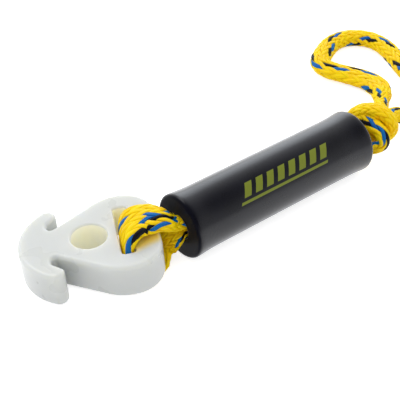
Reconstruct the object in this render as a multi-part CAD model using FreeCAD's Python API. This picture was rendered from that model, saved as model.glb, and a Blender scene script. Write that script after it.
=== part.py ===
import FreeCAD, Part
import math
import os

from FreeCAD import Placement, Rotation, Vector

# Tow rope quick connector: a thick plastic hook plate hangs on the bight of a hollow braided rope,
# the rope's two legs run through a foam float, and a knot behind the float holds it there.
# Millimetres. +Z is up and z = 0 is the ground. +X runs along the float, from the plate to the knot,
# and the origin is on the ground under the float's middle.

# Foam float
float_diameter = 38.1
float_length = 137.0
float_bore = 15.2
float_rim_round = 3.0
bore_rim_round = 1.0

# Rope: its two legs lie flat on each other and fill the float's bore up to a clearance
rope_diameter = 12.7
leg_gap = 0.4
leg_bore_clearance = 0.4
leg_flatness = 1.7
rope_clearance = 0.3
ground_clearance = 0.15

# Connector plate, in its own plane: x from the eye towards the rope slot, y across, z = 0 on the top face
plate_thickness = 21.3
plate_edge_round = 2.3
inner_rim_round = 1.2
eye_diameter = 20.6
head_radius = 32.2
head_centre_x = -7.6
barb_face_x = -16.3
barb_tip_round = 5.0
barb_inner_round = 2.0
barb_face_width = 9.0
notch_wall_x = -22.4
notch_wall_y = 16.5
notch_round = 2.4
notch_barb_round = 1.9
neck_half_width = 11.9
neck_foot_x = -19.1
neck_foot_round = 2.0
plate_half_width = 31.9
shoulder_x = 11.2
plate_end_x = 38.8
end_corner_round = 18.9
side_flat = 0.3
slot_start_x = 15.7
slot_end_x = 23.6
slot_side_wall = 11.9
slot_corner_round = 2.0
cut_past = 1.0

# How the plate lies: turned away from the float's axis, its head's lower edge on the ground
plate_yaw = -26.57
plate_pitch = 4.0
eye_to_float = 46.9
eye_offset_y = 20.6

# Rope bight round the plate's end bar, a flattened strap
strap_width = 24.5
strap_slot_end_gap = 1.9
strap_slot_gap = 0.9
strap_over = 8.6
strap_under = 3.5
strap_over_taper = 8.0
strap_under_taper = 3.0
strap_upper_round = 7.0
strap_lower_round = 5.5
strap_inner_round = 0.8

# Knot behind the float: a collar ring against the float, then a ball with a slanting band round it
knot_ball_radius = 17.5
knot_ball_from_float = 24.2
knot_ball_y = 3.5
collar_radius = 15.8
collar_y = 1.5
band_tilt = 38.0
heart_radius = 13.5

# Share of the shorter of two runs that the arc between them takes
arc_share = 0.45

# Free loop of rope behind the knot: points of the rope's middle line, from the knot round to the knot
loop_route = [
    (102.0, 3.0, 17.5),
    (112.5, 6.5, 13.5),
    (121.0, 4.5, 9.0),
    (126.5, -3.5, 6.8),
    (133.5, -11.5, 6.5),
    (144.0, -14.5, 6.5),
    (154.5, -9.5, 6.5),
    (160.5, 1.0, 6.5),
    (162.8, 13.0, 6.5),
    (162.0, 25.0, 6.5),
    (162.8, 37.0, 6.5),
    (165.8, 48.0, 6.5),
    (170.5, 59.5, 6.5),
    (177.5, 72.0, 6.5),
    (184.6, 84.5, 6.5),
    (187.0, 96.5, 6.5),
    (180.5, 107.0, 6.5),
    (170.0, 112.5, 6.5),
    (158.5, 112.0, 6.5),
    (148.8, 107.5, 6.5),
    (140.6, 103.2, 6.5),
    (133.6, 98.8, 6.5),
    (130.2, 92.2, 6.5),
    (130.8, 84.9, 6.5),
    (134.6, 77.4, 6.5),
    (138.4, 69.8, 6.5),
    (141.6, 61.6, 6.5),
    (142.6, 52.9, 6.5),
    (140.4, 44.6, 6.5),
    (135.4, 37.2, 6.5),
    (128.6, 30.2, 6.9),
    (119.6, 22.6, 9.5),
    (108.0, 14.6, 13.0),
]


# Two points or heights nearer than this count as one
same = 0.01

# Places and sizes that follow from the sizes above
float_end_x = float_length / 2
float_axis_z = float_diameter / 2
leg_half_height = (float_bore / 2 - leg_bore_clearance - leg_gap / 2) / 2
leg_half_width = leg_half_height * leg_flatness
leg_rise = leg_half_height + leg_gap / 2
barb_corner_y = math.sqrt(head_radius ** 2 - (barb_face_x - head_centre_x) ** 2)
notch_mouth_y = barb_corner_y - barb_face_width
shoulder_half_turn = math.atan2(plate_half_width - neck_half_width, shoulder_x - neck_foot_x) / 2
shoulder_reach = plate_end_x - shoulder_x - end_corner_round - side_flat
shoulder_round = shoulder_reach / math.tan(shoulder_half_turn)
slot_half_length = plate_half_width - slot_side_wall
strap_near_y = -slot_half_length + strap_slot_end_gap
strap_in_slot = slot_end_x - slot_start_x - rope_clearance - strap_slot_gap
pitch_sin = math.sin(math.radians(plate_pitch))
pitch_cos = math.cos(math.radians(plate_pitch))
head_reach = head_radius - head_centre_x
eye_top_z = ((head_reach - plate_edge_round) * pitch_sin
             + (plate_thickness - plate_edge_round) * pitch_cos + plate_edge_round)
plate_place = Placement(
    Vector(-float_end_x - eye_to_float, eye_offset_y, eye_top_z),
    Rotation(Vector(0, 0, 1), plate_yaw) * Rotation(Vector(0, 1, 0), -plate_pitch))
strap_end_x = plate_end_x + rope_clearance
knot_face_x = float_end_x + rope_clearance


def rounded_wire(corners):
    """Closed wire through corner points (x, y, radius), each corner rounded by a tangent arc."""
    count = len(corners)
    ends = []
    for i in range(count):
        before = Vector(*corners[i - 1][:2], 0)
        here = Vector(*corners[i][:2], 0)
        after = Vector(*corners[(i + 1) % count][:2], 0)
        radius = corners[i][2]
        to_before = (before - here).normalize()
        to_after = (after - here).normalize()
        half = to_before.getAngle(to_after) / 2
        reach = radius / math.tan(half) if radius else 0.0
        start = here + to_before * reach
        end = here + to_after * reach
        bisector = (to_before + to_after).normalize()
        middle = here + bisector * (radius / math.sin(half) - radius) if radius else here
        ends.append((start, middle, end, radius))
    edges = []
    for i in range(count):
        start, middle, end, radius = ends[i]
        next_start = ends[(i + 1) % count][0]
        if radius:
            edges.append(Part.Arc(start, middle, end).toShape())
        if end.distanceToPoint(next_start) > 1e-6:
            edges.append(Part.LineSegment(end, next_start).toShape())
    return Part.Wire(edges)


def prism(corners, low, high):
    """Solid between two heights with the rounded outline of the corners."""
    face = Part.Face(rounded_wire(corners))
    face.translate(Vector(0, 0, low))
    return face.extrude(Vector(0, 0, high - low))


def mirrored(half):
    """Corners of one side, then the same corners across the middle line in reverse order."""
    return half + [(x, -y, radius) for x, y, radius in reversed(half)]


def edges_where(shape, test):
    """Edges whose middle point passes the test."""
    found = []
    for edge in shape.Edges:
        middle = edge.valueAt((edge.FirstParameter + edge.LastParameter) / 2)
        if test(middle):
            found.append(edge)
    return found


def on_plate_face(point):
    """Whether a point of the plate, in its own plane, lies on its top or bottom face."""
    return abs(point.z) < same or abs(point.z + plate_thickness) < same


def plate_blank():
    """Hook plate before its rims are rounded: tail with shoulders, neck, and a disc head with two barbs."""
    tail = prism(mirrored([
        (notch_wall_x - notch_round, neck_half_width, 0),
        (neck_foot_x, neck_half_width, neck_foot_round),
        (shoulder_x, plate_half_width, shoulder_round),
        (plate_end_x, plate_half_width, end_corner_round),
    ]), -plate_thickness, 0)
    disc = Part.makeCylinder(head_radius, plate_thickness, Vector(head_centre_x, 0, -plate_thickness))
    beyond = head_radius * 2
    keep = prism([
        (-beyond, -beyond, 0),
        (barb_face_x, -beyond, 0),
        (barb_face_x, beyond, 0),
        (-beyond, beyond, 0),
    ], -plate_thickness, 0)
    head = disc.common(keep)
    for side in (1, -1):
        head = head.cut(prism([
            (notch_wall_x, side * neck_half_width, notch_round),
            (notch_wall_x, side * notch_wall_y, notch_barb_round),
            (barb_face_x, side * notch_mouth_y, 0),
            (barb_face_x + cut_past, side * notch_mouth_y, 0),
            (barb_face_x + cut_past, side * neck_half_width, 0),
        ], -plate_thickness, 0))
    for side in (1, -1):
        for corner_y, radius in ((barb_corner_y, barb_tip_round), (notch_mouth_y, barb_inner_round)):
            upright = Vector(barb_face_x, side * corner_y, -plate_thickness / 2)
            head = head.makeFillet(radius, edges_where(head, lambda p: p.distanceToPoint(upright) < same))
    return tail.fuse(head).removeSplitter()


def connector_plate():
    """Hook plate with its eye and rope slot, every rim rounded, lying with its head on the ground."""
    blank = plate_blank()
    blank = blank.makeFillet(plate_edge_round, edges_where(blank, on_plate_face))
    eye = Part.makeCylinder(eye_diameter / 2, plate_thickness, Vector(0, 0, -plate_thickness))
    slot = prism([
        (slot_start_x, -slot_half_length, slot_corner_round),
        (slot_end_x, -slot_half_length, slot_corner_round),
        (slot_end_x, slot_half_length, slot_corner_round),
        (slot_start_x, slot_half_length, slot_corner_round),
    ], -plate_thickness, 0)
    plate = blank.cut(eye).cut(slot)

    def on_inner_rim(point):
        in_eye = math.hypot(point.x, point.y) < eye_diameter / 2 + same
        in_slot = (slot_start_x - same < point.x < slot_end_x + same
                   and abs(point.y) < slot_half_length + same)
        return on_plate_face(point) and (in_eye or in_slot)

    plate = plate.makeFillet(inner_rim_round, edges_where(plate, on_inner_rim))
    plate.Placement = plate_place
    return plate


def foam_float():
    """Foam tube round the rope's legs, with soft rims at both ends."""
    profile = rounded_wire([
        (-float_end_x, float_bore / 2, bore_rim_round),
        (float_end_x, float_bore / 2, bore_rim_round),
        (float_end_x, float_diameter / 2, float_rim_round),
        (-float_end_x, float_diameter / 2, float_rim_round),
    ])
    tube = Part.Face(profile).revolve(Vector(0, 0, 0), Vector(1, 0, 0), 360)
    tube.translate(Vector(0, 0, float_axis_z))
    return tube


def rope_bight():
    """Flattened rope over the bar, down through the slot and back under the bar."""
    bar_top = rope_clearance
    bar_bottom = -plate_thickness - rope_clearance
    bar_side = slot_end_x - rope_clearance
    profile = Part.Face(rounded_wire([
        (strap_end_x, bar_top, 0),
        (strap_end_x, bar_top + strap_over, 0),
        (bar_side - strap_in_slot, bar_top + strap_over, strap_upper_round),
        (bar_side - strap_in_slot, bar_bottom - strap_under, strap_lower_round),
        (strap_end_x, bar_bottom - strap_under, 0),
        (strap_end_x, bar_bottom, 0),
        (bar_side, bar_bottom, strap_inner_round),
        (bar_side, bar_top, strap_inner_round),
    ]))
    strap = profile.extrude(Vector(0, 0, strap_width))
    strap.Placement = Placement(Vector(0, strap_near_y + strap_width, 0), Rotation(Vector(1, 0, 0), 90))
    for taper, low, high in (
        (strap_over_taper, bar_top, bar_top + strap_over),
        (strap_under_taper, bar_bottom - strap_under, bar_bottom),
    ):
        strap = strap.cut(prism([
            (bar_side, strap_near_y, 0),
            (strap_end_x, strap_near_y, 0),
            (strap_end_x, strap_near_y + taper, 0),
        ], low, high))
    strap.Placement = plate_place
    return strap


def ellipse_wire(centre, normal, wide, tall):
    """Ellipse with its longer half axis level."""
    level = Vector(0, 0, 1).cross(normal).normalize()
    ellipse = Part.Ellipse(centre + level * wide, centre + normal.cross(level) * tall, centre)
    return Part.Wire(ellipse.toShape())


def rope_neck(taper, strap_z, strap_half_height, bore_z):
    """Rope between the strap's end face and the float's mouth, from flat to the leg's ellipse."""
    half_width = (strap_width - taper) / 2
    strap_end = plate_place.multVec(Vector(strap_end_x, strap_near_y + taper + half_width, strap_z))
    strap_normal = plate_place.Rotation.multVec(Vector(1, 0, 0))
    bore_end = Vector(-float_end_x, 0, bore_z)
    flat = ellipse_wire(strap_end, strap_normal, half_width - rope_clearance, strap_half_height)
    leg = ellipse_wire(bore_end, Vector(1, 0, 0), leg_half_width, leg_half_height)
    return Part.makeLoft([flat, leg], True, True)


def rope_leg(axis_z):
    """One flattened leg of rope through the float, from mouth to knot."""
    section = Part.Face(ellipse_wire(Vector(-float_end_x, 0, axis_z), Vector(1, 0, 0),
                                     leg_half_width, leg_half_height))
    return section.extrude(Vector(float_length + rope_clearance, 0, 0))


def rope_knot():
    """Knot as a throat that takes both legs, a collar ring, a ball's heart and the band round it."""
    rope_radius = rope_diameter / 2
    throat_length = knot_ball_from_float - rope_clearance
    throat = Part.makeCylinder(float_bore / 2, throat_length,
                               Vector(knot_face_x, 0, float_axis_z), Vector(1, 0, 0))
    collar = Part.makeTorus(collar_radius - rope_radius, rope_radius,
                            Vector(knot_face_x + rope_radius, collar_y, collar_radius + ground_clearance),
                            Vector(1, 0, 0))
    ball_centre = Vector(float_end_x + knot_ball_from_float, knot_ball_y,
                         knot_ball_radius + ground_clearance)
    tilt = math.radians(band_tilt)
    band = Part.makeTorus(knot_ball_radius - rope_radius, rope_radius, ball_centre,
                          Vector(math.cos(tilt), 0, math.sin(tilt)))
    heart = Part.makeSphere(heart_radius, ball_centre)
    return throat.fuse([collar, heart, band]).removeSplitter()


def tube_path(route):
    """Straight runs joined by tangent arcs, each arc as large as its two runs allow."""
    points = [Vector(*point) for point in route]
    edges = []
    radii = []
    start = points[0]
    for before, here, after in zip(points, points[1:], points[2:]):
        back = before - here
        ahead = after - here
        reach = arc_share * min(back.Length, ahead.Length)
        back.normalize()
        ahead.normalize()
        half = back.getAngle(ahead) / 2
        radius = reach * math.tan(half)
        arc_start = here + back * reach
        arc_end = here + ahead * reach
        arc_middle = here + (back + ahead).normalize() * (radius / math.sin(half) - radius)
        edges.append(Part.LineSegment(start, arc_start).toShape())
        edges.append(Part.Arc(arc_start, arc_middle, arc_end).toShape())
        radii.append(radius)
        start = arc_end
    edges.append(Part.LineSegment(start, points[-1]).toShape())
    return Part.Wire(edges), radii


def rope_loop():
    """Free loop of rope from knot to knot, a round tube along its route."""
    path, radii = tube_path(loop_route)
    first_run = Vector(*loop_route[1]) - Vector(*loop_route[0])
    section = Part.Wire(Part.Circle(Vector(*loop_route[0]), first_run, rope_diameter / 2).toShape())
    tube = path.makePipeShell([section], True, False)
    expected = math.pi * rope_diameter ** 2 / 4 * path.Length
    print("loop length", round(path.Length, 1), "radii", [round(r, 1) for r in radii])
    print("loop volume over section times length", round(tube.Volume / expected, 4))
    return tube


nodes = {
    "connector_plate": connector_plate(),
    "foam_float": foam_float(),
    "rope_bight": rope_bight(),
    "rope_neck_upper": rope_neck(strap_over_taper, rope_clearance + strap_over / 2,
                                 strap_over / 2, float_axis_z + leg_rise),
    "rope_neck_lower": rope_neck(strap_under_taper, -plate_thickness - rope_clearance - strap_under / 2,
                                 strap_under / 2, float_axis_z - leg_rise),
    "rope_leg_upper": rope_leg(float_axis_z + leg_rise),
    "rope_leg_lower": rope_leg(float_axis_z - leg_rise),
    "rope_knot": rope_knot(),
    "rope_loop": rope_loop(),
}

os.makedirs("parts", exist_ok=True)
for name, shape in nodes.items():
    box = shape.optimalBoundingBox()
    print(name, "valid", shape.isValid(), "solids", len(shape.Solids), "volume", round(shape.Volume, 1),
          "x", round(box.XMin, 1), round(box.XMax, 1), "y", round(box.YMin, 1), round(box.YMax, 1),
          "z", round(box.ZMin, 2), round(box.ZMax, 2))
    shape.exportStep("parts/" + name + ".step")
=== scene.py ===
import math

import bpy
import numpy as np
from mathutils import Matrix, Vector


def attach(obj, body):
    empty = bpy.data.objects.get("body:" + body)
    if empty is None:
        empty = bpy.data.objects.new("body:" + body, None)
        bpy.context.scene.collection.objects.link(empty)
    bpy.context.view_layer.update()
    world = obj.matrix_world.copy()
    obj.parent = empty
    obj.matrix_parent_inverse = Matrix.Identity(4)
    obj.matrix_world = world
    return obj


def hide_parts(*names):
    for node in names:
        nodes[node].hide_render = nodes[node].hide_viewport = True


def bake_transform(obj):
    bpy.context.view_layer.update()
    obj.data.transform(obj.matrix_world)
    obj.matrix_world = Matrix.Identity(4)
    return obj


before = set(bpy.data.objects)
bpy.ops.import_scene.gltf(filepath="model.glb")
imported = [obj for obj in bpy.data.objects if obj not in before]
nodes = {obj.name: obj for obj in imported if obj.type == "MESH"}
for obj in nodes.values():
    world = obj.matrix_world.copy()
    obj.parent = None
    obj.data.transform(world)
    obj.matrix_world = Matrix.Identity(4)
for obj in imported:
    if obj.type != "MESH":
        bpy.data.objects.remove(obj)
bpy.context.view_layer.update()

scene = bpy.context.scene
scene.view_settings.view_transform = "Standard"
mm = 0.001


# Camera: above and in front of the plate, looking along the float.
camera = {
    "lens": 94.5,
    "sensorWidth": 36,
    "nearest": 0.01,
    "location": (-0.3420, -0.3631, 0.4014),
    "tilt": 51.41,
    "heading": -38.5,
}


def makeCamera():
    data = bpy.data.cameras.new("camera")
    data.lens = camera["lens"]
    data.sensor_width = camera["sensorWidth"]
    data.clip_start = camera["nearest"]
    holder = bpy.data.objects.new("camera", data)
    holder.location = camera["location"]
    holder.rotation_euler = (math.radians(camera["tilt"]), 0, math.radians(camera["heading"]))
    scene.collection.objects.link(holder)
    scene.camera = holder


makeCamera()
print("camera ready")


# Unit vectors of rows.
def unit(rows):
    return rows / np.maximum(np.linalg.norm(rows, axis=-1, keepdims=True), 1e-12)


# Distance along a line at each of its points.
def runs(line):
    return np.concatenate([[0], np.cumsum(np.linalg.norm(np.diff(line, axis=0), axis=1))])


# Points of a line spaced evenly along it.
def evenly(line, step):
    run = runs(line)
    count = max(4, int(round(run[-1] / step)) + 1)
    wanted = np.linspace(0, run[-1], count)
    return np.stack([np.interp(wanted, run, line[:, axis]) for axis in range(3)], axis=1)


# Line along control points: a quadratic spline that starts and ends on its first and last point, read
# back as points and spaced evenly.
def splineLine(points, step):
    data = bpy.data.curves.new("line", "CURVE")
    data.dimensions = "3D"
    data.resolution_u = 12
    spline = data.splines.new("NURBS")
    spline.points.add(len(points) - 1)
    flat = np.ones((len(points), 4))
    flat[:, :3] = points
    spline.points.foreach_set("co", flat.ravel())
    spline.order_u = 3
    spline.use_endpoint_u = True
    holder = bpy.data.objects.new("line", data)
    scene.collection.objects.link(holder)
    bpy.context.view_layer.update()
    mesh = bpy.data.meshes.new_from_object(holder)
    read = np.zeros(len(mesh.vertices) * 3)
    mesh.vertices.foreach_get("co", read)
    bpy.data.objects.remove(holder)
    bpy.data.curves.remove(data)
    bpy.data.meshes.remove(mesh)
    return evenly(read.reshape(-1, 3), step)


# Share of a line's length at each of its points.
def shares(line):
    run = runs(line)
    return run / run[-1]


# Values given at stations along the line, as fractions of its length, smoothly filled in between.
def along(line, stations, values):
    share = shares(line)
    stations = np.asarray(stations, float)
    values = np.asarray(values, float)
    place = np.clip(np.searchsorted(stations, share, side="right") - 1, 0, len(stations) - 2)
    t = np.clip((share - stations[place]) / (stations[place + 1] - stations[place]), 0, 1)
    t = t * t * (3 - 2 * t)
    if values.ndim == 2:
        t = t[:, None]
    return values[place] * (1 - t) + values[place + 1] * t


# Points and faces of a grid whose rows are closed rings. Both ends get a centre point and a fan.
def gridParts(grid, offset):
    rows, ring = grid.shape[:2]
    index = np.arange(rows * ring).reshape(rows, ring) + offset
    turned = np.roll(index, -1, axis=1)
    quads = np.stack([index[:-1], turned[:-1], turned[1:], index[1:]], axis=-1).reshape(-1, 4)
    centres = np.stack([grid[0].mean(axis=0), grid[-1].mean(axis=0)])
    first = offset + rows * ring
    capA = np.stack([np.full(ring, first), turned[0], index[0]], axis=-1)
    capB = np.stack([np.full(ring, first + 1), index[-1], turned[-1]], axis=-1)
    points = np.concatenate([grid.reshape(-1, 3), centres])
    return points, quads, np.concatenate([capA, capB])


# One mesh object from several grids. Each point keeps three values as attributes of the surface: the
# distance along the rope, the place across its strand, and the tint of its strand.
def meshFromGrids(name, grids, alongs, acrosses, colours):
    pointSets, quadSets, triSets = [], [], []
    runSet, sideSet, tintSet = [], [], []
    offset = 0
    for grid, runGrid, sideGrid, tint in zip(grids, alongs, acrosses, colours):
        points, quads, tris = gridParts(grid, offset)
        pointSets.append(points)
        quadSets.append(quads)
        triSets.append(tris)
        ends = [runGrid[0, 0], runGrid[-1, 0]]
        runSet.append(np.concatenate([runGrid.ravel(), ends]))
        sideSet.append(np.concatenate([sideGrid.ravel(), [0, 0]]))
        tintSet.append(np.full(len(points), tint))
        offset += len(points)
    points = np.concatenate(pointSets)
    quads = np.concatenate(quadSets)
    tris = np.concatenate(triSets)
    mesh = bpy.data.meshes.new(name)
    mesh.vertices.add(len(points))
    mesh.vertices.foreach_set("co", points.ravel())
    mesh.loops.add(quads.size + tris.size)
    mesh.loops.foreach_set("vertex_index", np.concatenate([quads.ravel(), tris.ravel()]))
    mesh.polygons.add(len(quads) + len(tris))
    starts = np.concatenate([np.arange(len(quads)) * 4, quads.size + np.arange(len(tris)) * 3])
    mesh.polygons.foreach_set("loop_start", starts)
    mesh.update(calc_edges=True)
    mesh.polygons.foreach_set("use_smooth", np.ones(len(mesh.polygons), bool))
    for label, values in (("run", runSet), ("side", sideSet), ("tint", tintSet)):
        attribute = mesh.attributes.new(label, "FLOAT", "POINT")
        attribute.data.foreach_set("value", np.concatenate(values).astype(np.float32))
    mesh.validate()
    piece = bpy.data.objects.new(name, mesh)
    scene.collection.objects.link(piece)
    return piece


# Strands of the braid. The lining is an inner sleeve that closes the gaps between strands; its darker
# yellow is painted shade, for the rope's shaded inside seen through the gaps.
braid = {
    "strandThick": 1.3 * mm,
    "wave": 0.42 * mm,  # how far a strand rises and dips as it crosses others
    "waveFlatness": 1.7,
    "cover": 1.0,  # a strand's width as a share of the room it has
    "ring": 8,
    "ringWide": 0.8,  # powers below 1 square off a strand's round section
    "ringTall": 0.7,
    "sway": 0.06,  # how far strands wander sideways, as a share of their room
    "swayLength": 23 * mm,
    "swayShift": 2.4,
    "carrierShift": 0.037,  # keeps the fine lines of neighbouring strands apart
    "windingShift": 0.011,
    "liningPoints": 24,
    "outlinePoints": 256,
}
tints = {"yellow": 0.0, "blue": 1.0, "black": 2.0, "paintedShadeLining": 3.0}


# Closed outline of a flattened tube at each station: |x/a|^n + |y/b|^n = 1, as points evenly spaced
# round it, each with its outward direction.
def outlines(halfWide, halfTall, fullness):
    angle = np.linspace(0, 2 * np.pi, 2 * braid["outlinePoints"] + 1)
    even = np.linspace(0, 1, braid["outlinePoints"] + 1)
    power = (2 / fullness)[:, None]
    wide, tall = halfWide[:, None], halfTall[:, None]

    def corner(angles):
        cosine, sine = np.cos(angles), np.sin(angles)
        x = wide * np.sign(cosine) * np.abs(cosine) ** power
        y = tall * np.sign(sine) * np.abs(sine) ** power
        return x, y, cosine, sine

    x, y, cosine, sine = corner(angle[None, :])
    steps = np.hypot(np.diff(x, axis=1), np.diff(y, axis=1))
    passed = np.concatenate([np.zeros((len(x), 1)), np.cumsum(steps, axis=1)], axis=1)
    passed = passed / passed[:, -1:]
    placed = np.stack([np.interp(even, row, angle) for row in passed])
    x, y, cosine, sine = corner(placed)
    outX = np.sign(cosine) * np.abs(cosine) ** (2 - power) / wide
    outY = np.sign(sine) * np.abs(sine) ** (2 - power) / tall
    size = np.hypot(outX, outY)
    return np.stack([x, y, outX / size, outY / size], axis=-1), steps.sum(axis=1)


# Values of the outline table at shares of the way round, filled in between its points.
def readOutline(table, share):
    spot = (share % 1) * braid["outlinePoints"]
    low = np.minimum(spot.astype(int), braid["outlinePoints"] - 1)
    part = (spot - low)[..., None]
    row = np.arange(len(table))[:, None]
    value = table[row, low] * (1 - part) + table[row, low + 1] * part
    return value[..., 0], value[..., 1], value[..., 2], value[..., 3]


# Braided hollow rope as flat strands that wind both ways round a flattened tube, each passing over two
# and under two: a strand's height is a flat-topped wave of the number of strands crossed. The winding
# keeps the braid's angle, so a wider stretch turns more slowly. The phase, one value or one for each point
# of the line, turns both windings together by that share of a full turn. Tracers name the strands that
# aren't yellow, by winding direction and number.
def braidedRope(name, line, sideHint, halfWide, halfTall, weave, fullness=2.0):
    count = len(line)
    halfWide = np.broadcast_to(halfWide, count)
    halfTall = np.broadcast_to(halfTall, count)
    fullness = np.broadcast_to(fullness, count)
    sideHint = np.broadcast_to(sideHint, (count, 3))
    tangent = unit(np.gradient(line, axis=0))
    side = unit(sideHint - (sideHint * tangent).sum(axis=1, keepdims=True) * tangent)
    up = np.cross(tangent, side)
    run = runs(line)
    carriers = weave["carriers"]
    phase = np.broadcast_to(weave["phase"], count)
    inset = braid["strandThick"] / 2 + braid["wave"]
    table, girth = outlines(halfWide - inset, halfTall - inset, fullness)
    slope = np.tan(np.radians(np.broadcast_to(weave["angle"], count))) / girth
    turn = np.concatenate([[0], np.cumsum(np.diff(run) * 0.5 * (slope[1:] + slope[:-1]))])
    ringAngle = np.linspace(0, 2 * np.pi, braid["ring"], endpoint=False)
    across = np.sign(np.cos(ringAngle)) * np.abs(np.cos(ringAngle)) ** braid["ringWide"]
    height = np.sign(np.sin(ringAngle)) * np.abs(np.sin(ringAngle)) ** braid["ringTall"]
    grids, alongs, acrosses, colours = [], [], [], []

    def addGrid(share, lift, runGrid, sideGrid, tint):
        wide, tall, outWide, outTall = readOutline(table, share)
        wide = wide + outWide * lift
        tall = tall + outTall * lift
        grids.append(line[:, None] + side[:, None] * wide[..., None] + up[:, None] * tall[..., None])
        alongs.append(np.broadcast_to(runGrid, share.shape))
        acrosses.append(np.broadcast_to(sideGrid, share.shape))
        colours.append(tints[tint])

    for direction in (1, -1):
        for carrier in range(carriers):
            swayAngle = 2 * np.pi * run / braid["swayLength"] + carrier * braid["swayShift"]
            sway = braid["sway"] * np.sin(swayAngle)
            middle = (carrier + sway) / carriers + phase + direction * turn
            share = middle[:, None] + direction * across[None, :] * braid["cover"] / (2 * carriers)
            crossed = carriers * (share + (direction * turn - phase)[:, None])
            waveAngle = np.pi * (carrier + crossed - 0.5) / 2
            wave = direction * np.clip(braid["waveFlatness"] * np.cos(waveAngle), -1, 1)
            lift = braid["wave"] * wave + height[None, :] * braid["strandThick"] / 2
            runGrid = run[:, None] + carrier * braid["carrierShift"] + direction * braid["windingShift"]
            colour = weave["tracers"].get((direction, carrier), "yellow")
            addGrid(share, lift, runGrid, across[None, :], colour)
    # Lining: a sleeve under the strands, coloured with painted shade of the rope's inside.
    around = np.linspace(0, 1, braid["liningPoints"], endpoint=False)
    share = np.broadcast_to(around[None, :], (count, len(around)))
    addGrid(share, -braid["wave"] - braid["strandThick"] / 2, run[:, None], 0.0, "paintedShadeLining")
    return meshFromGrids(name, grids, alongs, acrosses, colours)


# Side directions that turn a flattened rope's broad face away from a centre.
def sidesAround(line, centre):
    return np.cross(line - np.asarray(centre) * mm, unit(np.gradient(line, axis=0)))


# Free loop of rope. The route's points are in millimetres, as are the half sizes of its section, which
# stand at stations, as shares of its length. Turns are the braid's phase at turn stations.
loop = {
    "route": [
        (102.0, 3.0, 17.5), (111.5, 7.0, 16.0), (120.5, 9.6, 12.5), (128.0, 6.2, 9.0),
        (131.8, -1.8, 6.9), (137.0, -10.4, 6.5), (146.0, -13.8, 6.5), (155.0, -9.0, 6.5),
        (161.5, 1.0, 6.5), (165.4, 13.0, 6.5), (167.0, 25.0, 6.5), (169.6, 37.0, 6.5),
        (173.4, 48.0, 6.5), (178.0, 59.5, 6.5), (183.4, 72.0, 6.5), (187.0, 84.5, 6.5),
        (186.0, 96.5, 6.5), (179.0, 105.6, 6.5), (168.8, 110.5, 6.5), (158.0, 109.5, 6.5),
        (148.8, 105.5, 6.5), (141.6, 101.6, 6.5), (135.0, 97.4, 6.5), (131.6, 91.4, 6.5),
        (132.0, 84.4, 6.5), (135.2, 77.2, 6.5), (139.2, 69.8, 6.5), (143.2, 61.4, 6.5),
        (144.6, 52.4, 6.5), (142.0, 43.6, 6.5), (136.0, 36.2, 6.5), (128.8, 30.0, 6.9),
        (120.0, 22.4, 9.5), (110.0, 15.2, 13.0), (101.0, 8.6, 15.8),
    ],
    "step": 1.2 * mm,
    "roundRadius": 6.35 * mm,  # the line lies this high on the floor, and a flatter section lowers it
    "stations": [0.0, 0.06, 0.14, 0.5, 0.68, 0.735, 0.79, 0.825, 0.855, 0.89, 0.93, 1.0],
    "halfWide": [5.2, 5.8, 6.8, 7.2, 7.4, 8.6, 9.8, 9.6, 7.4, 5.2, 4.8, 5.0],
    "halfTall": [5.2, 5.4, 5.6, 5.6, 5.6, 5.2, 4.8, 4.8, 5.2, 5.4, 5.4, 5.0],
    "turnStations": [0.05, 0.35, 0.70, 0.79, 1.0],
    "turns": [-0.167, 0.0, 0.0, 0.05, 0.05],
    "weave": {"carriers": 12, "angle": 20,
              "tracers": {(-1, 7): "blue", (-1, 8): "black", (-1, 2): "blue", (-1, 1): "black"}},
    "length": 0.341,
    "diameter": 0.0127,
}


def makeLoop():
    line = splineLine(np.array(loop["route"]) * mm, loop["step"])
    side = np.cross([0, 0, 1], unit(np.gradient(line, axis=0)))
    halfWide = along(line, loop["stations"], loop["halfWide"]) * mm
    halfTall = along(line, loop["stations"], loop["halfTall"]) * mm
    middle = line.copy()
    middle[:, 2] -= loop["roundRadius"] - halfTall
    turns = np.interp(shares(line), loop["turnStations"], loop["turns"])
    piece = braidedRope("looseLoop", middle, side, halfWide, halfTall, dict(loop["weave"], phase=turns))
    print("loop length", round(runs(line)[-1], 4))
    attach(piece, "rope")
    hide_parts("rope_loop")
    return piece


looseLoop = makeLoop()
print("loop ready")

# Plate's own axes: along, across and out of its top face, from the middle of the eye's upper rim.
plateYaw = math.radians(-26.57)
platePitch = math.radians(4.0)
plateOrigin = np.array([-115.4, 20.6, 23.87])
plateAlong = np.array([math.cos(platePitch) * math.cos(plateYaw),
                       math.cos(platePitch) * math.sin(plateYaw), math.sin(platePitch)])
plateAcross = np.array([-math.sin(plateYaw), math.cos(plateYaw), 0])
plateOut = np.cross(plateAlong, plateAcross)


def fromPlate(points):
    points = np.asarray(points, float)
    return (plateOrigin + points[:, :1] * plateAlong + points[:, 1:2] * plateAcross
            + points[:, 2:] * plateOut) * mm


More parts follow.
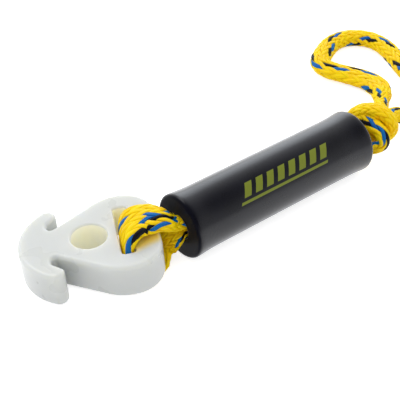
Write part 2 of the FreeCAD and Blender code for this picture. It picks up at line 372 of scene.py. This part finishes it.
# Rope from the float's bore over the plate's bar, down through the slot, under the bar and back. Points
# over the bar are in the plate's own axes; the legs' points are in the object's. Half sizes, fullness and
# turns stand at stations along the line, as in the loop.
bight = {
    "upperLeg": [(-59.0, 0.0, 22.6), (-63.0, 0.0, 22.6), (-68.5, 0.0, 22.9), (-73.5, 0.8, 24.6)],
    "overBar": [(41.6, -1.6, 3.6), (37.0, -1.4, 4.4), (32.0, -0.6, 4.8), (27.6, -1.2, 4.8),
                (23.2, -3.0, 3.4), (20.2, -4.6, -1.0), (19.7, -5.0, -7.0), (19.7, -5.0, -14.0),
                (20.2, -5.0, -20.6), (25.0, -5.2, -23.4), (31.0, -4.4, -23.4), (36.5, -2.6, -22.8)],
    "lowerLeg": [(-77.5, 3.4, 8.4), (-72.8, 2.0, 12.8), (-68.5, 0.0, 15.2), (-63.0, 0.0, 15.5),
                 (-59.0, 0.0, 15.5)],
    "step": 0.85 * mm,
    "stations": [0.0, 0.07, 0.14, 0.20, 0.27, 0.36, 0.45, 0.68, 0.77, 0.83, 0.88, 0.94, 1.0],
    "halfWide": [5.8, 6.8, 7.4, 9.0, 11.6, 13.0, 14.8, 14.6, 12.0, 9.6, 8.0, 5.2, 5.2],
    "halfTall": [3.4, 3.7, 4.4, 4.8, 5.0, 4.4, 3.7, 2.7, 2.4, 2.9, 3.2, 3.5, 3.4],
    "fullness": [2.0, 2.0, 2.2, 2.4, 2.5, 2.6, 2.6, 2.6, 2.4, 2.3, 2.2, 2.0, 2.0],
    "sideStations": [0.0, 0.07, 0.25, 0.77, 0.88, 0.95, 1.0],
    "lowerTilt": (0, 0.87, 0.5),
    "turnStations": [0.10, 0.20, 0.30, 0.36, 0.45, 0.80, 1.0],
    "turns": [0.02, -0.02, -0.055, -0.05, -0.05, -0.52, -0.52],
    "weave": {"carriers": 16, "angle": 23,
              "tracers": {(-1, 2): "blue", (-1, 1): "black", (-1, 0): "black", (-1, 15): "blue",
                          (1, 6): "blue"}},
}


def makeBight():
    points = np.concatenate([np.array(bight["upperLeg"]) * mm, fromPlate(bight["overBar"]),
                             np.array(bight["lowerLeg"]) * mm])
    line = splineLine(points, bight["step"])
    level = (0, 1, 0)
    sideTurns = [level, level, plateAcross, plateAcross, bight["lowerTilt"], level, level]
    sides = along(line, bight["sideStations"], sideTurns)
    halfWide = along(line, bight["stations"], bight["halfWide"]) * mm
    halfTall = along(line, bight["stations"], bight["halfTall"]) * mm
    fullness = along(line, bight["stations"], bight["fullness"])
    turns = np.interp(shares(line), bight["turnStations"], bight["turns"])
    weave = dict(bight["weave"], phase=turns)
    piece = braidedRope("ropeRoundBar", line, sides, halfWide, halfTall, weave, fullness)
    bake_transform(piece)
    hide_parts("rope_bight", "rope_neck_upper", "rope_neck_lower")
    return piece


ropeRoundBar = makeBight()
print("bight ready")

# Foam tube, which lies on the floor along the x axis.
foam = {
    "halfLength": 68.5 * mm,
    "radius": 19.05 * mm,
    "flare": 0.8 * mm,
    "flareReach": 9 * mm,
    "rimRound": 2.2 * mm,
    "boreRadius": 7.6 * mm,
    "boreRound": 1.4 * mm,
    "axisZ": 19.05 * mm,
    "around": 160,
    "wallPoints": 80,
    "cornerPoints": 9,
    "facePoints": 8,
    "borePoints": 30,
}

# Two legs of the rope, flat on each other, from the float's mouth through its bore into the knot.
leg = {
    "start": -59.5,
    "end": 75.0,
    "rise": 3.65,
    "step": 1.6 * mm,
    "halfWide": 5.9 * mm,
    "halfTall": 3.45 * mm,
    "weave": {"carriers": 12, "angle": 22, "phase": 0.0, "tracers": {(-1, 1): "blue", (-1, 0): "black"}},
}


def makeLeg(name, node, rise):
    height = foam["axisZ"] / mm + rise
    line = evenly(np.array([(leg["start"], 0, height), (leg["end"], 0, height)]) * mm, leg["step"])
    piece = braidedRope(name, line, (0, 1, 0), leg["halfWide"], leg["halfTall"], leg["weave"])
    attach(piece, "rope")
    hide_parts(node)
    return piece


legs = [makeLeg("legUpper", "rope_leg_upper", leg["rise"]),
        makeLeg("legLower", "rope_leg_lower", -leg["rise"])]
print("legs ready")

# Knot: stretches of the rope as it winds over itself behind the float. Each has the points of its middle
# line, its half sizes at even steps along it, and its weave.
knot = {
    "centre": (86.0, 2.0, 18.0),
    "step": 0.8 * mm,
    "fullness": 2.2,
    "stretches": {
        "knotCollar": {
            "points": [(66.0, 2.0, 22.5), (72.0, 8.0, 24.0), (78.0, 9.5, 26.5), (81.8, 5.0, 28.0),
                       (83.0, 0.5, 27.0), (83.0, -3.8, 26.0), (83.0, -8.5, 25.4), (83.0, -12.2, 23.6),
                       (82.6, -14.2, 20.6), (81.8, -14.2, 17.6), (79.6, -12.6, 15.2),
                       (76.0, -8.5, 14.0), (71.0, -4.0, 14.0), (66.0, 0.0, 15.0)],
            "halfWide": (4.6, 5.0, 4.8, 4.4, 4.2), "halfTall": (3.6, 3.8, 3.8, 3.6, 3.4),
            "weave": {"carriers": 8, "angle": 16, "phase": 0.0,
                      "tracers": {(1, 7): "blue", (1, 6): "blue", (-1, 6): "black"}},
        },
        "knotArch": {
            "points": [(85.0, 13.0, 15.0), (80.5, 14.4, 20.5), (79.5, 10.6, 27.4), (84.6, 8.6, 30.0),
                       (88.5, 4.4, 31.2), (91.5, -0.9, 31.2), (94.0, -5.2, 28.8), (94.6, -8.6, 25.2),
                       (93.6, -10.4, 21.4), (90.4, -9.6, 18.4), (86.0, -6.0, 17.2), (81.0, -2.0, 16.6)],
            "halfWide": (5.4, 6.2, 7.0, 6.8, 5.0, 4.0), "halfTall": (4.2, 4.4, 4.4, 4.4, 4.2, 4.0),
            "weave": {"carriers": 12, "angle": 22, "phase": 0.2, "tracers": {}},
        },
        "knotHeart": {
            "points": [(74.0, 4.0, 17.0), (82.0, 4.0, 19.0), (90.0, 4.4, 19.4), (98.0, 5.4, 17.4),
                       (105.5, 7.0, 15.4)],
            "halfWide": (7.5, 9.0, 9.8, 7.0), "halfTall": (7.0, 8.5, 8.8, 6.5),
            "weave": {"carriers": 16, "angle": 24, "phase": 0.0,
                      "tracers": {(1, 6): "blue", (1, 7): "black"}},
        },
    },
}


def makeKnot():
    pieces = []
    for name, stretch in knot["stretches"].items():
        stations = np.linspace(0, 1, len(stretch["halfWide"]))
        line = splineLine(np.array(stretch["points"]) * mm, knot["step"])
        sides = sidesAround(line, knot["centre"])
        halfWide = along(line, stations, stretch["halfWide"]) * mm
        halfTall = along(line, stations, stretch["halfTall"]) * mm
        piece = braidedRope(name, line, sides, halfWide, halfTall, stretch["weave"], knot["fullness"])
        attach(piece, "rope")
        pieces.append(piece)
    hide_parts("rope_knot")
    return pieces


knotPieces = makeKnot()
print("knot ready")


# Float: a closed profile turned round the axis. Its outer wall swells towards both cut ends by a bell
# curve of the distance to them, and presses flat on the floor there. Both edges of each end are quarter
# circles.
def makeFloat():
    half = foam["halfLength"]
    rimRound, boreRound = foam["rimRound"], foam["boreRound"]
    edge = np.linspace(0, np.pi / 2, foam["cornerPoints"])
    outerX = np.linspace(-half + rimRound, half - rimRound, foam["wallPoints"])
    swell = foam["flare"] * np.exp(-((half - np.abs(outerX)) / foam["flareReach"]) ** 2)
    outer = np.stack([outerX, foam["radius"] + swell], axis=1)
    rim = foam["radius"] + swell[-1] - rimRound
    cornerFar = np.stack([half - rimRound + rimRound * np.sin(edge),
                          rim + rimRound * np.cos(edge)], axis=1)[1:]
    boreFar = np.stack([half - boreRound + boreRound * np.cos(edge),
                        foam["boreRadius"] + boreRound - boreRound * np.sin(edge)], axis=1)
    faceRadius = np.linspace(cornerFar[-1, 1], boreFar[0, 1], foam["facePoints"])[1:-1]
    faceFar = np.stack([np.full(len(faceRadius), half), faceRadius], axis=1)
    farEnd = np.concatenate([cornerFar, faceFar, boreFar])
    nearEnd = farEnd[::-1] * np.array([-1, 1])
    boreX = np.linspace(half - boreRound, -half + boreRound, foam["borePoints"])[1:-1]
    bore = np.stack([boreX, np.full(len(boreX), foam["boreRadius"])], axis=1)
    profile = np.concatenate([outer, farEnd, bore, nearEnd])
    angle = np.linspace(0, 2 * np.pi, foam["around"], endpoint=False)
    grid = np.stack([
        np.broadcast_to(profile[:, :1], (len(profile), len(angle))),
        profile[:, 1:] * np.sin(angle)[None, :],
        foam["axisZ"] + profile[:, 1:] * np.cos(angle)[None, :],
    ], axis=-1)
    grid[..., 2] = np.maximum(grid[..., 2], 0)
    rows, ring = grid.shape[:2]
    index = np.arange(rows * ring).reshape(rows, ring)
    turned = np.roll(index, -1, axis=1)
    after = np.roll(index, -1, axis=0)
    afterTurned = np.roll(after, -1, axis=1)
    quads = np.stack([index, turned, afterTurned, after], axis=-1).reshape(-1, 4)
    mesh = bpy.data.meshes.new("foamFloat")
    mesh.from_pydata(grid.reshape(-1, 3), [], quads)
    mesh.polygons.foreach_set("use_smooth", np.ones(len(mesh.polygons), bool))
    piece = bpy.data.objects.new("foamFloat", mesh)
    scene.collection.objects.link(piece)
    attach(piece, "float")
    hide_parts("foam_float")
    return piece


foamFloat = makeFloat()
print("float ready")


# Small helper for shader trees: adds nodes, and fills their inputs with plain values or links.
class Tree:
    def __init__(self, tree):
        self.tree = tree

    def fill(self, node, inputs):
        for key, value in inputs.items():
            if isinstance(value, bpy.types.NodeSocket):
                self.tree.links.new(value, node.inputs[key])
            else:
                node.inputs[key].default_value = value

    def add(self, kind, inputs=None, **settings):
        node = self.tree.nodes.new(kind)
        for key, value in settings.items():
            setattr(node, key, value)
        self.fill(node, inputs or {})
        return node

    def math(self, operation, first, second=0.0, clamp=False):
        node = self.add("ShaderNodeMath", {0: first, 1: second}, operation=operation)
        node.use_clamp = clamp
        return node.outputs[0]

    def product(self, first, *others):
        for other in others:
            first = self.math("MULTIPLY", first, other)
        return first

    def dot(self, first, second):
        node = self.add("ShaderNodeVectorMath", {0: first, 1: second}, operation="DOT_PRODUCT")
        return node.outputs["Value"]

    def mix(self, factor, first, second, blend="MIX"):
        node = self.add("ShaderNodeMix", {0: factor, 6: first, 7: second}, data_type="RGBA")
        node.blend_type = blend
        return node.outputs[2]

    # A smooth step from one output to the other while the value passes from low to high.
    def band(self, value, low, high, outLow=0.0, outHigh=1.0):
        node = self.add("ShaderNodeMapRange",
                        {0: value, 1: low, 2: high, 3: outLow, 4: outHigh}, interpolation_type="SMOOTHSTEP")
        return node.outputs[0]

    # 1 between two bands: the value rises over the first and falls over the second.
    def between(self, value, rise, fall):
        return self.product(self.band(value, *rise), self.band(value, *fall, 1.0, 0.0))

    def noise(self, vector, scale, detail):
        node = self.add("ShaderNodeTexNoise", {"Vector": vector, "Scale": scale, "Detail": detail})
        return node.outputs[0]

    def bump(self, height, strength, distance):
        node = self.add("ShaderNodeBump", {"Strength": strength, "Distance": distance, "Height": height})
        return node.outputs[0]


def newMaterial(name):
    material = bpy.data.materials.new(name)
    material.use_nodes = True
    material.node_tree.nodes.clear()
    tree = Tree(material.node_tree)
    shader = tree.add("ShaderNodeBsdfPrincipled")
    tree.add("ShaderNodeOutputMaterial", {0: shader.outputs[0]})
    return material, tree, shader


# Rope: satin plastic filaments. Fine lines run along each strand: noise stretched along its length.
ropeLook = {
    "yellow": (1.0, 0.69, 0.0, 1),
    "blue": (0.0, 0.14, 0.44, 1),
    "black": (0.004, 0.005, 0.008, 1),
    # Painted shade: the lining's darker yellow stands for the rope's shaded inside, seen between strands.
    "paintedShadeLining": (0.55, 0.33, 0.0, 1),
    "linesAlong": 70.0,
    "linesAcross": 4.5,
    "patchScale": 120.0,
    "shade": (0.88, 1.12),
    "warm": (0.88, 1.0),
    "roughness": (0.42, 0.55),
}


def ropeMaterial():
    material, tree, shader = newMaterial("braided rope")
    run = tree.add("ShaderNodeAttribute", attribute_name="run").outputs["Fac"]
    side = tree.add("ShaderNodeAttribute", attribute_name="side").outputs["Fac"]
    tint = tree.add("ShaderNodeAttribute", attribute_name="tint").outputs["Fac"]
    place = tree.add("ShaderNodeCombineXYZ", {0: tree.product(run, ropeLook["linesAlong"]),
                                              1: tree.product(side, ropeLook["linesAcross"]), 2: run})
    lines = tree.noise(place.outputs[0], 1.0, 3.0)
    local = tree.add("ShaderNodeTexCoord").outputs["Object"]
    patch = tree.noise(local, ropeLook["patchScale"], 2.0)
    ramp = tree.add("ShaderNodeValToRGB", {0: tree.math("DIVIDE", tint, tints["paintedShadeLining"])})
    ramp.color_ramp.interpolation = "CONSTANT"
    elements = ramp.color_ramp.elements
    while len(elements) < len(tints):
        elements.new(0.5)
    for element, (name, value) in zip(elements, tints.items()):
        element.position = max(0.0, (value - 0.5) / tints["paintedShadeLining"])
        element.color = ropeLook[name]
    shade = tree.band(lines, 0.25, 0.75, *ropeLook["shade"])
    warm = tree.band(patch, 0.3, 0.7, *ropeLook["warm"])
    shadeColour = tree.add("ShaderNodeCombineColor", {0: shade, 1: tree.product(shade, warm), 2: shade})
    tree.fill(shader, {
        "Base Color": tree.mix(1.0, ramp.outputs[0], shadeColour.outputs[0], "MULTIPLY"),
        "Roughness": tree.band(patch, 0.2, 0.8, *ropeLook["roughness"]),
        "Normal": tree.bump(lines, 0.6, 0.5 * mm),
        "Specular IOR Level": 0.16,
        "Subsurface Weight": 0.35,
        "Subsurface Radius": (1.0, 0.75, 0.1),
        "Subsurface Scale": 1.5 * mm,
    })
    return material


# Foam: dull black, with a glossier skin that stops short of the cut ends, and a row of slanting bars
# printed over a line. Its masks are in millimetres: x along the float, and the arc round it upwards from
# its -y side. Each pair holds the two ends of a mask's soft edge.
foamLook = {
    "dark": (0.002, 0.002, 0.005, 1),
    "lighter": (0.004, 0.004, 0.009, 1),
    "print": (0.172, 0.205, 0.015, 1),
    "halfPitch": 4.2,
    "barEdge": (1.5, 1.8),
    "slant": -0.6,
    "barFoot": (13.0, 13.3),
    "barHead": (21.0, 21.3),
    "lineFoot": (9.6, 9.8),
    "lineHead": (11.2, 11.4),
    "printStart": (-42.0, -41.8),
    "printEnd": (25.0, 25.2),
    "skinStops": (1.5, 0.5),
    "roughness": (0.30, 0.36),
}


def foamMaterial():
    material, tree, shader = newMaterial("black foam")
    local = tree.add("ShaderNodeTexCoord").outputs["Object"]
    parts = tree.add("ShaderNodeSeparateXYZ", {0: local}).outputs
    x = tree.product(parts[0], 1 / mm)
    y = tree.product(parts[1], 1 / mm)
    z = tree.math("SUBTRACT", tree.product(parts[2], 1 / mm), foam["axisZ"] / mm)
    arc = tree.product(tree.math("ARCTAN2", z, tree.product(y, -1.0)), foam["radius"] / mm)
    slant = tree.math("ADD", x, tree.product(arc, foamLook["slant"]))
    bars = tree.band(tree.math("PINGPONG", slant, foamLook["halfPitch"]), *foamLook["barEdge"])
    bars = tree.product(bars, tree.between(arc, foamLook["barFoot"], foamLook["barHead"]))
    line = tree.between(arc, foamLook["lineFoot"], foamLook["lineHead"])
    inLength = tree.between(slant, foamLook["printStart"], foamLook["printEnd"])
    printed = tree.product(tree.math("ADD", bars, line), inLength)
    broad = tree.noise(local, 60.0, 3.0)
    dark = tree.mix(tree.band(broad, 0.3, 0.7), foamLook["dark"], foamLook["lighter"])
    skinEdge = [foam["halfLength"] / mm - distance for distance in foamLook["skinStops"]]
    tree.fill(shader, {
        "Base Color": tree.mix(printed, dark, foamLook["print"]),
        "Roughness": tree.band(broad, 0.3, 0.7, *foamLook["roughness"]),
        "Normal": tree.bump(tree.noise(local, 2600.0, 2.0), 0.06, 0.3 * mm),
        "Coat Weight": tree.band(tree.math("ABSOLUTE", x), *skinEdge, 1.0, 0.0),
        "Coat Roughness": 0.27,
        "Coat IOR": 1.36,
        "Specular IOR Level": 0.05,
        "Specular Tint": (0.80, 0.88, 1.0, 1),
        "Sheen Weight": 0.45,
        "Sheen Roughness": 0.26,
        "Sheen Tint": (0.78, 0.87, 1.0, 1),
    })
    return material


# Plate: milky plastic that scatters light below its surface. Its openings' walls get a painted glow: a
# lighter, warm base colour and a faint emission that stand in for light passing through the plastic. The
# bar's top beside the rope gets painted shade: an amber patch that stands in for the rope's shadow and the
# yellow light the rope throws on it. Masks are distances in the plate's own axes, read from turned
# coordinates, and each pair holds the two ends of a mask's soft edge.
plateLook = {
    "base": (0.595, 0.615, 0.605, 1),
    "cloud": (0.615, 0.635, 0.63, 1),
    # Painted glow: colour of the light that passes through the plastic into the openings' walls.
    "paintedGlow": (0.90, 0.89, 0.76, 1),
    # Painted shade: the amber of the rope's shadow and the yellow light it reflects onto the bar.
    "ropeShadeColour": (0.90, 0.70, 0.14, 1),
    "eyeWall": (10.5 * mm, 11.3 * mm),
    "slotNear": (14.5 * mm, 15.3 * mm),
    "slotFar": (23.8 * mm, 24.6 * mm),
    "slotEnd": (20.2 * mm, 21.0 * mm),
    "rim": (-1.6 * mm, -0.6 * mm),
    # Where the painted rope shade lies on the bar's top, and how it fades.
    "ropeShadeSlope": -0.42,
    "ropeShadeReach": (-33.0 * mm, -26.0 * mm),
    "ropeShadeNear": (22.0 * mm, 24.0 * mm),
    "ropeShadeFar": (36.0 * mm, 40.0 * mm),
    "ropeShadeDepth": (-6.0 * mm, -1.0 * mm),
    "ropeShadeSide": (-7.0 * mm, -3.0 * mm),
    "roughness": (0.26, 0.34),
}


def plateMaterial():
    material, tree, shader = newMaterial("milky plastic")
    local = tree.add("ShaderNodeTexCoord").outputs["Object"]
    turned = tree.add("ShaderNodeMapping", {
        "Vector": local, "Location": tuple(plateOrigin * mm),
        "Rotation": (0, -platePitch, plateYaw)}, vector_type="TEXTURE").outputs[0]
    parts = tree.add("ShaderNodeSeparateXYZ", {0: turned}).outputs
    x, y, z = parts[0], parts[1], parts[2]
    radius = tree.math("SQRT", tree.math("ADD", tree.product(x, x), tree.product(y, y)))
    inEye = tree.band(radius, *plateLook["eyeWall"], 1.0, 0.0)
    inSlot = tree.product(tree.between(x, plateLook["slotNear"], plateLook["slotFar"]),
                          tree.band(tree.math("ABSOLUTE", y), *plateLook["slotEnd"], 1.0, 0.0))
    belowRim = tree.band(z, *plateLook["rim"], 1.0, 0.0)
    # Painted glow: the walls of the eye and the slot, below the rim, get a lighter warm colour and
    # emission, standing in for light passing through the plastic.
    paintedGlow = tree.product(belowRim, tree.math("MAXIMUM", inEye, inSlot))
    # Painted shade: an amber patch on the bar's top beside the rope, standing in for the rope's shadow and
    # the yellow light it throws.
    edge = tree.math("ADD", y, tree.product(x, plateLook["ropeShadeSlope"]))
    ropeShade = tree.product(tree.band(edge, *plateLook["ropeShadeReach"]),
                         tree.between(x, plateLook["ropeShadeNear"], plateLook["ropeShadeFar"]),
                         tree.band(z, *plateLook["ropeShadeDepth"]),
                         tree.band(y, *plateLook["ropeShadeSide"], 1.0, 0.0))
    cloud = tree.noise(local, 45.0, 3.0)
    base = tree.mix(tree.band(cloud, 0.3, 0.7), plateLook["base"], plateLook["cloud"])
    base = tree.mix(paintedGlow, base, plateLook["paintedGlow"])
    tree.fill(shader, {
        "Base Color": tree.mix(ropeShade, base, plateLook["ropeShadeColour"]),
        "Roughness": tree.band(cloud, 0.3, 0.7, *plateLook["roughness"]),
        "Normal": tree.bump(tree.noise(local, 1800.0, 2.0), 0.08, 0.3 * mm),
        # Painted glow, as a faint emission from the openings' walls.
        "Emission Color": tree.mix(paintedGlow, (0, 0, 0, 1), plateLook["paintedGlow"]),
        "Emission Strength": 0.05,
        "Subsurface Weight": 1.0,
        "Subsurface Radius": (1.0, 0.95, 0.75),
        "Subsurface Scale": 10 * mm,
    })
    return material


def dress(piece, material):
    piece.data.materials.clear()
    piece.data.materials.append(material)


rope = ropeMaterial()
for piece in [looseLoop, ropeRoundBar] + legs + knotPieces:
    dress(piece, rope)
dress(foamFloat, foamMaterial())
dress(nodes["connector_plate"], plateMaterial())
print("materials ready")

# Studio: a pale floor, soft light from all round, and two lamps. The world's strength rises towards the
# beyond direction, and its ceiling, round the overhead direction, is dark, but only in gloss.
studio = {
    "floorHalf": 6,
    "floorColour": (0.9, 0.9, 0.9, 1),
    "floorGlow": 0.7,
    "beyond": (0.55, 0.70, 0.45),
    "beyondBand": (-0.6, 0.9),
    "strength": (0.75, 1.15),
    "overhead": (-0.26, -0.33, 0.91),
    "overheadBand": (0.35, 0.78),
    "ceilingDark": 0.95,
    "key": {"location": (-0.3, 0.9, 1.3), "size": 0.9, "power": 6, "colour": (1, 1, 1)},
    "panel": {"location": (1.1, 1.4, 0.75), "size": 1.1, "power": 6, "colour": (0.86, 0.93, 1)},
}


# Plain pale floor, lifted to white where it is seen, so that only the object's shadow darkens it.
def makeFloor():
    half = studio["floorHalf"]
    mesh = bpy.data.meshes.new("floor")
    mesh.from_pydata([(-half, -half, 0), (half, -half, 0), (half, half, 0), (-half, half, 0)], [],
                     [(0, 1, 2, 3)])
    floor = bpy.data.objects.new("floor", mesh)
    scene.collection.objects.link(floor)
    material, tree, shader = newMaterial("floor")
    path = tree.add("ShaderNodeLightPath").outputs
    seen = tree.math("ADD", path["Is Camera Ray"],
                     tree.math("ADD", path["Is Glossy Ray"], path["Is Transmission Ray"]), clamp=True)
    tree.fill(shader, {
        "Base Color": studio["floorColour"],
        "Roughness": 0.9,
        "Specular IOR Level": 0.0,
        "Emission Color": (1, 1, 1, 1),
        "Emission Strength": tree.product(seen, studio["floorGlow"]),
    })
    dress(floor, material)


# Round area lamp that faces the object.
def makeLight(name):
    look = studio[name]
    data = bpy.data.lights.new(name, "AREA")
    data.shape = "DISK"
    data.size = look["size"]
    data.energy = look["power"]
    data.color = look["colour"]
    light = bpy.data.objects.new(name, data)
    light.location = look["location"]
    light.rotation_euler = (-Vector(look["location"])).to_track_quat("-Z", "Y").to_euler()
    scene.collection.objects.link(light)
    return light


def makeWorld():
    world = bpy.data.worlds.new("world")
    world.use_nodes = True
    world.node_tree.nodes.clear()
    tree = Tree(world.node_tree)
    direction = tree.add("ShaderNodeTexCoord").outputs["Generated"]
    beyond = tree.band(tree.dot(direction, studio["beyond"]), *studio["beyondBand"], *studio["strength"])
    overhead = tree.dot(direction, studio["overhead"])
    ceiling = tree.band(overhead, *studio["overheadBand"], 0.0, studio["ceilingDark"])
    gloss = tree.add("ShaderNodeLightPath").outputs["Is Glossy Ray"]
    strength = tree.product(beyond, tree.math("SUBTRACT", 1.0, tree.product(gloss, ceiling)))
    background = tree.add("ShaderNodeBackground", {0: (1, 1, 1, 1), 1: strength})
    tree.add("ShaderNodeOutputWorld", {0: background.outputs[0]})
    scene.world = world


makeFloor()
makeWorld()
makeLight("key")
makeLight("panel").visible_diffuse = False  # shows only as gloss along the tops
print("stage ready")
